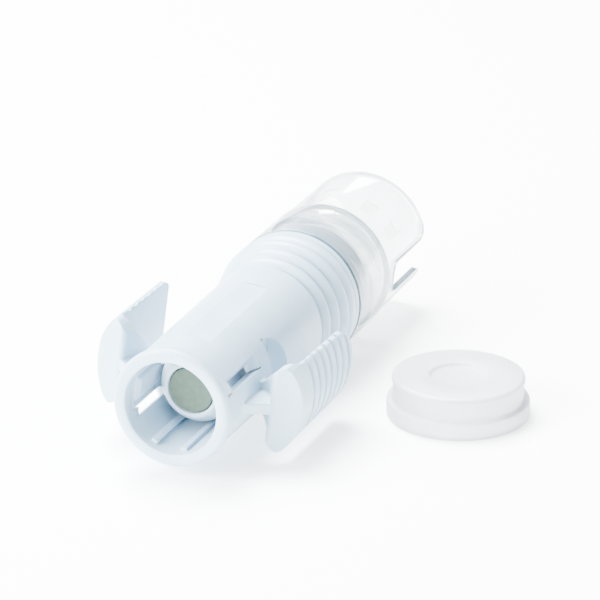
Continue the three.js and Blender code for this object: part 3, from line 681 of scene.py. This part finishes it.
# %% Housing ribs and lugs
def creased(piece, start, end, least=9):
    """Marks the edges sharper than least degrees sharp between y = start and y = end."""
    first, last = [(DEVICE @ Vector((0, y, 0))).y for y in (start, end)]
    shape = bmesh.new()
    shape.from_mesh(piece.data)
    for edge in shape.edges:
        inside = all(first < vertex.co.y < last for vertex in edge.verts)
        if inside and edge.calc_face_angle(0) > math.radians(least):
            edge.smooth = False
    shape.to_mesh(piece.data)
    shape.free()


rib = block(
    "guide_rib", (MOUTH_R - 0.6, 0.5, -0.55), (MOUTH_R + 0.4, GUIDE_START + 0.2, 0.55)
)
ribs = repeated(moved(rib, about_axis(70)), 2, turn=40)
ribs = repeated(ribs, 2, turn=180)
lug = block("lug", (SPIGOT_R - 0.4, 54.0, -0.8), (SPIGOT_R + 0.33, 57.1, 0.8))
lugs = repeated(moved(lug, about_axis(-24)), 2, turn=180)
combined(shell, [ribs, lugs], "UNION")
softened(shell, 0.16, until=37)
shell.name = "housing_visual"
finished(shell, WHITE, "housing", ["main_housing"])
creased(shell, PANEL_START - 0.5, PANEL_END + 0.5)

# %% [markdown]
# ## Twisting bands
#
# Each lever hangs in the barrel wall on two short bands, above and below its strip.

# %% Bands
def band(name, side, way):
    start, end = STRIP_ANGLE - 3, BAND_ANGLE + 1.5
    steps, rows = 24, [BAND_START, 15.4, 16.5, STRIP_END]
    points, faces = [], []
    for i in range(steps + 1):
        angle = way * (start + (end - start) * i / steps)
        ring = [(skin(y) + 0.012, y) for y in rows] + [(MOUTH_R + 0.02, y) for y in rows[::-1]]
        points += [polar(radius, angle, y) for radius, y in ring]
    around = 2 * len(rows)
    for i in range(steps):
        for k in range(around):
            a, b = i * around + k, i * around + (k + 1) % around
            faces.append((a, b, b + around, a + around))
    faces += [list(range(around)), list(range(steps * around, (steps + 1) * around))]
    piece = outward(mesh_piece(name, points, faces))
    return moved(piece, MIRROR) if side < 0 else piece


for lever, side in (("right_lever", 1), ("left_lever", -1)):
    for label, way in (("upper", 1), ("lower", -1)):
        piece = band(f"{lever}_{label}_band", side, way)
        finished(piece, WHITE)
        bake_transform(piece)

# %% [markdown]
# ## Levers
#
# A lever is a strip of the barrel wall with a latch hook on its inside. A curved wing
# grows out of it, stiffened by a flat web and a gusset, and turns into the finger plate,
# whose rounded outer face is grooved. The parts are wrapped in one soft skin.

# %% Lever body
def wing_face(inset=0.0, share=1.0, steps=28):
    bulge = PLATE_OUT - PLATE_IN
    radius = (WING_HALF**2 + bulge**2) / (2 * bulge)
    reach = share * math.degrees(math.asin(WING_HALF / radius))
    return arc(PLATE_OUT - radius, 0, radius - inset, -reach, reach, steps)


def lever_plan():
    """The lever's outline from above: wing front, plate, and the fillets behind the wing."""
    root = skin(9) - 0.6
    outline = [(root, 12.6)]
    outline += arc(9.64, 9.4, 3.26, 80, 10, 14) + arc(13.7, 9.5, 0.8, 190, 290, 8)
    outline += [(15.8, 9.5)] + arc(17.1, 11.5, 1.4, 295, 350, 8)
    outline += [(PLATE_OUT + 0.2, 14.6), (PLATE_OUT + 0.2, 31.3)]
    outline += arc(17.5, 31.3, 1.0, 0, 90, 6) + arc(16.4, 31.3, 1.0, 90, 180, 6)
    outline += [(PLATE_IN, 13.4)] + arc(14.2, 12.6, 1.2, 0, -80, 6)
    outline += arc(12.6, 15.0, 2.9, -78, -150, 12)
    return outline + [(root, 16.0)]


def lever_front():
    """The outline from the mouth: a narrow root that widens to the finger plate."""
    upper = [
        (15.1, 7.62), (14.5, 7.45), (13.8, 6.9), (12.7, 5.5), (11.4, 4.0), (10.2, 2.6),
        (9.3, 2.2),
    ]
    lower = [(x, -z) for x, z in upper[::-1]]
    return lower + wing_face(share=0.9) + upper


def lever_side():
    """The outline from the side: the plate with its rounded rear end."""
    upper = arc(29.1, 3.2, 3.2, 0, 78, 10)
    upper += [(13.6, 7.0), (12.4, 7.35), (11.4, 7.75), (7.0, 7.75)]
    lower = [(y, -z) for y, z in upper[::-1]]
    return lower + upper


def lever_parts():
    blank = pushed("blank", lever_plan(), "z", -9, 9)
    front = pushed("front", lever_front(), "y", 7, 33.3)
    side = pushed("side", lever_side(), "x", 7, 20.5)
    combined(blank, [front, side], "INTERSECT")
    groove = pushed("groove", wing_face(inset=0.65) + [(21, 9.8), (21, -9.8)], "y", 15.2, 16.15)
    combined(blank, [repeated(groove, 7, step=(0, 2.5, 0))], "DIFFERENCE")
    strip = sector(
        "strip", MOUTH_R, skin(2.5), -STRIP_ANGLE, STRIP_ANGLE, STRIP_START, STRIP_END, 16
    )
    for vertex in strip.data.vertices:
        if math.hypot(vertex.co.x, vertex.co.z) > MOUTH_R + 0.5:
            lift = skin(vertex.co.y) / skin(2.5)
            vertex.co.x *= lift
            vertex.co.z *= lift
    hook = pushed("hook", [(8.2, -2.2), (8.2, 2.2)] + arc(7.95, 1.2, 1, 90, 180, 6) + arc(
        7.95, -1.2, 1, 180, 270, 6
    ), "y", 2.3, 12.7)
    lead = pushed("lead", [(6.4, 1.8), (7.8, 1.8), (6.4, 3.9)], "z", -3.2, 3.2)
    combined(hook, [lead], "DIFFERENCE")
    web = pushed("web", [(9.0, 5.6), (15.2, 9.9), (9.0, 14.6)], "z", -1, 1)
    gusset = pushed("gusset", [(12.2, 12.6), (15.7, 12.0), (15.7, 19.0)], "z", -0.6, 0.6)
    return [blank, strip, hook, web, gusset]


lever_skin = remeshed(gathered("lever_skin", lever_parts()), 0.13, 6)
print("lever skin", len(lever_skin.data.polygons), "faces")

# %% [markdown]
# The right lever is a copy of the soft skin, and the left one is its mirror image, with
# its faces turned round again so that they point outwards.

# %% Levers in place
right = copied(lever_skin, Matrix.Identity(4))
right.name = "right_lever_visual"
SOFT = 60
finished(right, LEVER_WHITE, "right_lever", ["right_lever"], SOFT)
left = moved(lever_skin, MIRROR)
left.name = "left_lever_visual"
finished(left, LEVER_WHITE, "left_lever", ["left_lever"], SOFT)

# %% [markdown]
# ## Septum and its carrier
#
# The carrier slides in the guide bore with the septum in its nose. Both are round, so each
# is turned from the outline of its section.

# %% Septum and carrier
carrier = turned("septum_carrier_visual", [
    (4.05, 7.35), (4.15, 7.2), (4.4, 7.15), (4.75, 7.3), (5.15, 7.75), (5.6, 8.45), (5.95, 9.0),
    (6.2, 9.4), (6.3, 9.8), (6.3, 28.1), (6.5, 28.3), (7.5, 28.3), (7.7, 28.5), (7.7, 29.9),
    (7.5, 30.1), (5.35, 30.1), (5.15, 29.9), (5.15, 9.05), (4.05, 9.05),
], 128)
finished(
    carrier, CARRIER_WHITE, "septum_carrier", ["septum_carrier"], angle=40
)
septum = turned("septum_visual", [
    (0, 7.3), (1.2, 7.27), (2.6, 7.2), (3.4, 7.16), (3.75, 7.22), (3.9, 7.45), (3.9, 9.2),
    (4.9, 9.2), (5.0, 9.3), (5.0, 12.25), (4.9, 12.35), (0, 12.35),
], 128)
finished(septum, RUBBER, "septum_carrier", ["septum"], angle=40)

# %% [markdown]
# ## Spring
#
# A coil of steel wire between the carrier and the needle hub.

# %% Spring
spring_group = node_group("coil_spring", [
    ("Turns", "NodeSocketFloat"), ("Radius", "NodeSocketFloat"), ("Length", "NodeSocketFloat"),
    ("Wire", "NodeSocketFloat"), ("Material", "NodeSocketMaterial"),
])
given = node(spring_group, "NodeGroupInput").outputs
coil = node(
    spring_group, "GeometryNodeCurveSpiral", Resolution=48, Rotations=given["Turns"],
    Start_Radius=given["Radius"], End_Radius=given["Radius"], Height=given["Length"],
).outputs[0]
wire = node(
    spring_group, "GeometryNodeCurvePrimitiveCircle", Resolution=16, Radius=given["Wire"]
).outputs[0]
swept = node(
    spring_group, "GeometryNodeCurveToMesh", Curve=coil, Profile_Curve=wire, Fill_Caps=True
).outputs[0]
real = node(spring_group, "GeometryNodeRealizeInstances", Geometry=swept).outputs[0]
coated = node(
    spring_group, "GeometryNodeSetMaterial", Geometry=real, Material=given["Material"]
).outputs[0]
node(spring_group, "NodeGroupOutput", Geometry=coated)
spring = generated("return_spring_visual", spring_group, {
    "Turns": 6.0, "Radius": 6.6, "Length": 16.5, "Wire": 0.4, "Material": SPRING_STEEL,
})
LAID_ALONG_Y = Matrix.Rotation(math.radians(-90), 4, "X")
moved(spring, Matrix.Translation((0, 30.7, 0)) @ LAID_ALONG_Y)
finished(spring, SPRING_STEEL, "housing", ["return_spring"])
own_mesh(spring)

# %% [markdown]
# ## Clear sleeve and end ring
#
# The sleeve fits over the spigot, and the white end ring shows through it. Both are turned.
# The small steps at the ends of the sleeve's outline round its rims.

# %% Sleeve and end ring
sleeve = turned("clear_sleeve_visual", [
    (SLEEVE_BORE_R, SLEEVE_START + 0.15), (SLEEVE_BORE_R + 0.15, SLEEVE_START),
    (SLEEVE_R - 0.25, SLEEVE_START), (SLEEVE_R - 0.07, SLEEVE_START + 0.08),
    (SLEEVE_R, SLEEVE_START + 0.3), (SLEEVE_R, SLEEVE_END - 0.45),
    (SLEEVE_R - 0.08, SLEEVE_END - 0.2), (SLEEVE_R - 0.25, SLEEVE_END - 0.05),
    (SLEEVE_R - 0.4, SLEEVE_END), (SLEEVE_BORE_R + 0.1, SLEEVE_END),
    (SLEEVE_BORE_R, SLEEVE_END - 0.1),
])
# the sleeve's end and side faces are tinted dark as painted shade
with_painted_shade_edges(sleeve)
finished(sleeve, CLEAR, "housing", ["clear_sleeve"], angle=50)
ring = turned("end_ring_visual", [
    (7.2, 54.9), (8.6, 54.9), (8.6, 57.6), (10.27, 57.6), (10.27, 59.1), (10.18, 59.3), (9.97, 59.4),
    (7.4, 59.4), (7.2, 59.2),
])
finished(ring, WHITE, "housing", ["end_ring"])

# %% [markdown]
# ## Vial collar
#
# The collar plugs into the sleeve and ends in two tongues that snap over the neck of a
# vial. It is turned, one flared slot through both sides leaves the tongues, and eight
# stretched beads on their insides are set by the repeat group.

# %% Vial collar
collar = turned("vial_collar_visual", [
    (2.5, COLLAR_START), (9.55, COLLAR_START), (9.55, 61.9), (10.6, 61.9), (10.6, COLLAR_START),
    (COLLAR_R - 0.15, COLLAR_START), (COLLAR_R, COLLAR_START + 0.15), (COLLAR_R, COLLAR_END - 0.35),
    (COLLAR_R - 0.1, COLLAR_END - 0.1), (COLLAR_R - 0.35, COLLAR_END),
    (COLLAR_BORE_R + 0.25, COLLAR_END), (COLLAR_BORE_R, COLLAR_END - 0.25),
    (COLLAR_BORE_R, BULKHEAD_FACE), (2.5, BULKHEAD_FACE),
])
flare, root = COLLAR_END - 3, BULKHEAD_FACE + 3.3
slot_outline = arc(flare, 5.8, 3, 0, -90, 16)
slot_outline += arc(root, 0.4, 2.4, 90, 180, 12) + arc(root, -0.4, 2.4, 180, 270, 12)
slot_outline += arc(flare, -5.8, 3, 90, 0, 16)
slot_outline += [(COLLAR_END + 1, -5.8), (COLLAR_END + 1, 5.8)]
combined(collar, [pushed("slot", slot_outline, "x", -13, 13)], "DIFFERENCE")
bpy.ops.mesh.primitive_uv_sphere_add(segments=24, ring_count=12, radius=0.75)
bead = bpy.context.object
bead.name = "bead"
bead_place = Matrix.Translation((COLLAR_BORE_R, BULKHEAD_FACE + 8.15, 0))
moved(bead, bead_place @ Matrix.Diagonal((0.55, 0.9, 1.7, 1)))
beads = repeated(moved(bead, about_axis(40)), 2, turn=28, material=CLEAR)
beads = repeated(repeated(beads, 2, turn=72, material=CLEAR), 2, turn=180, material=CLEAR)
combined(collar, [beads], "UNION")
softened(collar, 0.12, angle=50)
# the collar's end and side faces are tinted dark as painted shade
with_painted_shade_edges(collar)
finished(collar, CLEAR, "housing", ["vial_collar"], angle=45)

# %% [markdown]
# ## Vial spike
#
# A hollow clear spike in the middle of the collar goes through the vial's stopper. It is
# turned, with a wide foot and a long tapered point.

# %% Vial spike
spike = turned("vial_spike_visual", [
    (0.8, 53.9), (3.0, 53.9), (3.0, 55.9), (2.2, 56.7), (2.2, 70.2), (2.0, 72.4), (1.76, 74.7),
    (1.1, 77.6), (0.3, 79.9), (0, 80.2), (0, 70.2), (0.8, 69.2),
], 64)
finished(spike, CLEAR, "housing", ["vial_spike"], angle=40)

# %% [markdown]
# ## Dust cap
#
# A thin push-on cap stands on its open end beside the device. It has a stepped flange, a
# snap bead under its top edge and a shallow round dimple. All of it is in the section that
# is turned, so its edges are rounded by a few points more.

# %% Dust cap
cap = turned("dust_cap_visual", [
    (0, 5.55), (5.0, 5.55), (5.2, 5.6), (5.45, 6.05), (5.7, 6.15), (9.7, 6.15), (10.1, 5.95),
    (10.2, 5.6), (10.2, 0.45), (10.35, 0.15), (10.6, 0), (11.7, 0), (11.9, 0.08), (12.0, 0.3),
    (12.0, 2.5), (11.9, 2.78), (11.65, 2.9), (11.1, 2.95), (10.98, 3.05), (10.95, 3.2),
    (10.95, 5.8), (11.05, 6.0), (11.15, 6.2), (11.15, 6.5), (11.05, 6.75), (10.8, 6.93),
    (10.5, 7.0), (5.1, 7.0), (4.9, 6.95), (4.75, 6.75), (4.6, 6.48), (4.4, 6.4), (0, 6.4),
])
STOOD_UP = Matrix.Rotation(math.radians(90), 4, "X")
moved(cap, STOOD_UP)
finished(
    cap, MILKY, "dust_cap", ["dust_cap"], angle=40, place=CAP_PLACE
)

# %% [markdown]
# ## CAD nodes that stay in view
#
# The septum's retainer, the hub, the needles, the seal and the filter stack are inside the
# device. They keep their CAD shapes and take the same materials. The replaced nodes get
# theirs too, so that no CAD node is left bare.

# %% Materials of the inner nodes
INNER = {
    "septum_retainer": CARRIER_WHITE, "needle_hub": WHITE, "filter_support": WHITE,
    "filter_ring": WHITE, "liquid_needle": NEEDLE_STEEL, "vent_needle": NEEDLE_STEEL,
    "hub_seal": RUBBER, "filter_membrane": MEMBRANE, "fluid_filter": MEMBRANE,
}
REPLACED = {
    "main_housing": WHITE, "end_ring": WHITE, "left_lever": LEVER_WHITE, "right_lever": LEVER_WHITE,
    "septum_carrier": CARRIER_WHITE, "septum": RUBBER, "return_spring": SPRING_STEEL,
    "clear_sleeve": CLEAR, "vial_collar": CLEAR, "vial_spike": CLEAR, "dust_cap": MILKY,
}
for name, material in {**INNER, **REPLACED}.items():
    cad = frame["nodes"][name]
    cad.data.materials.clear()
    cad.data.materials.append(material)
print(len(INNER), "inner nodes shown,", len(REPLACED), "replaced")

# %% [markdown]
# ## Stage and light
#
# A pale floor, a soft bright surround and three large soft lights. The strongest ones are
# above and to the left, so that the sides turned to the right fall into soft shade.

# %% Floor and surround
floor_material, _, _ = surface(
    "floor", Base_Color=colour("#FAFBFC"), Roughness=0.7,
    Emission_Color=(1, 1, 1, 1), Emission_Strength=2.0,
)
floor = mesh_piece("floor", [(-6, -6, 0), (6, -6, 0), (6, 6, 0), (-6, 6, 0)], [(0, 1, 2, 3)])
floor.data.materials.append(floor_material)
floor.location.z = -0.00005
world = bpy.data.worlds.new("surround")
bpy.context.scene.world = world
world.use_nodes = True
sky = world.node_tree.nodes["Background"]
sky.inputs["Color"].default_value = colour("#EAF2F8")
sky.inputs["Strength"].default_value = 0.8


def soft_light(name, place, size, power):
    """A square light that faces the middle of the floor."""
    data = bpy.data.lights.new(name, "AREA")
    data.shape = "SQUARE"
    data.size = size
    data.energy = power
    lamp = bpy.data.objects.new(name, data)
    bpy.context.scene.collection.objects.link(lamp)
    lamp.location = place
    lamp.rotation_euler = (-Vector(place)).to_track_quat("-Z", "Y").to_euler()


soft_light("top_light", (-0.25, 0.15, 0.65), 0.45, 54.0)
soft_light("left_light", (-0.55, -0.45, 0.4), 0.4, 32.0)
soft_light("front_fill", (-0.35, -0.75, 0.4), 0.4, 20.0)
print(len(bpy.data.lights), "lights")

# %% [markdown]
# ## Camera
#
# A long lens looks at the mouth end from above and from the right. The camera's place is
# worked out from the device's origin, and its aim is set beside it to frame the cap too.

# %% Camera
AZIMUTH, ELEVATION = math.radians(24.39), math.radians(23.47)
DISTANCE, AIM_RIGHT, AIM_UP = 0.6, 0.020577, 0.016787
back = Vector((
    math.sin(AZIMUTH) * math.cos(ELEVATION),
    -math.cos(AZIMUTH) * math.cos(ELEVATION),
    math.sin(ELEVATION),
))
right_way = Vector((math.cos(AZIMUTH), math.sin(AZIMUTH), 0))
up_way = back.cross(right_way)
camera = bpy.data.objects.new("camera", bpy.data.cameras.new("camera"))
bpy.context.scene.collection.objects.link(camera)
camera.data.lens = 225.7
camera.data.sensor_width = 36
camera.data.dof.use_dof = False
camera.location = ORIGIN + DISTANCE * back
aim = ORIGIN + AIM_RIGHT * right_way + AIM_UP * up_way
camera.rotation_euler = (aim - camera.location).to_track_quat("-Z", "Y").to_euler()
bpy.context.scene.camera = camera
print("camera at", [round(v, 4) for v in camera.location])
